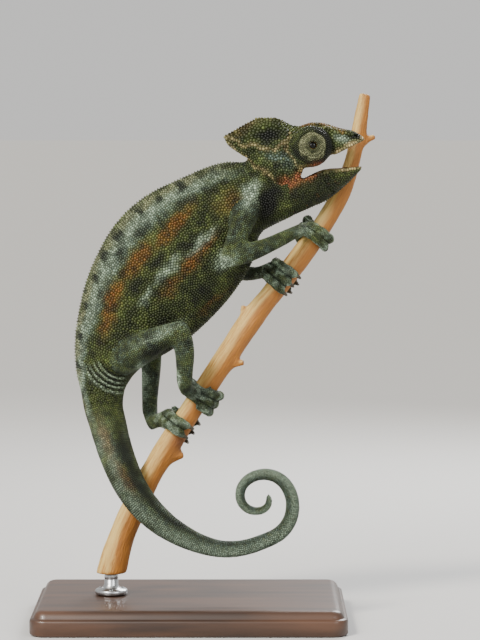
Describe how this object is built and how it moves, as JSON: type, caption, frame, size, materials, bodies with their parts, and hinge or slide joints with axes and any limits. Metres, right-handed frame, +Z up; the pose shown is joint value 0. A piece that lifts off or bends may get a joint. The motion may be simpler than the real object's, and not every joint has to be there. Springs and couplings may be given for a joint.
{
  "type": "common chameleon display model",
  "caption": "Still, life-size common chameleon climbing a cut length of branch, mouth a little open and tail curled, held by a plain flat stand with one short rod.",
  "frame": {"origin": "middle of the underside of the stand's base", "axes": "+Z up, +X the way the animal climbs and its snout points, -Y the side its right flank faces"},
  "size_m": [0.1236, 0.078, 0.1903],
  "materials": {
    "scaly_skin": "matt scaly skin, dark green with lighter grey-green and rusty patches",
    "foot_skin": "matt fine-scaled skin, grey-green, with small dark claws",
    "lid_skin": "fine granular lid skin, pale grey-green",
    "eye": "wet gloss, dark pupil in a thin golden ring",
    "tongue": "moist, flesh pink",
    "branch_wood": "thin tan bark, ochre in shade, pale cut ends",
    "base_wood": "dark hardwood, satin",
    "rod_steel": "brushed, bare"
  },
  "bodies": {
    "root": {"head": "scaly_skin", "lower_jaw": "scaly_skin", "neck": "scaly_skin", "trunk": "scaly_skin", "right_upper_arm": "scaly_skin", "left_upper_arm": "scaly_skin", "right_forearm": "scaly_skin", "left_forearm": "scaly_skin", "right_thigh": "scaly_skin", "left_thigh": "scaly_skin", "right_shin": "scaly_skin", "left_shin": "scaly_skin", "tail_base": "scaly_skin", "tail_mid": "scaly_skin", "tail_sweep": "scaly_skin", "tail_tip": "scaly_skin", "right_hand": "foot_skin", "left_hand": "foot_skin", "right_foot": "foot_skin", "left_foot": "foot_skin", "right_eye_turret": "lid_skin", "left_eye_turret": "lid_skin", "right_eye": "eye", "left_eye": "eye", "tongue": "tongue", "perch_branch": "branch_wood", "stand_base": "base_wood", "stand_rod": "rod_steel"}
  },
  "joints": []
}
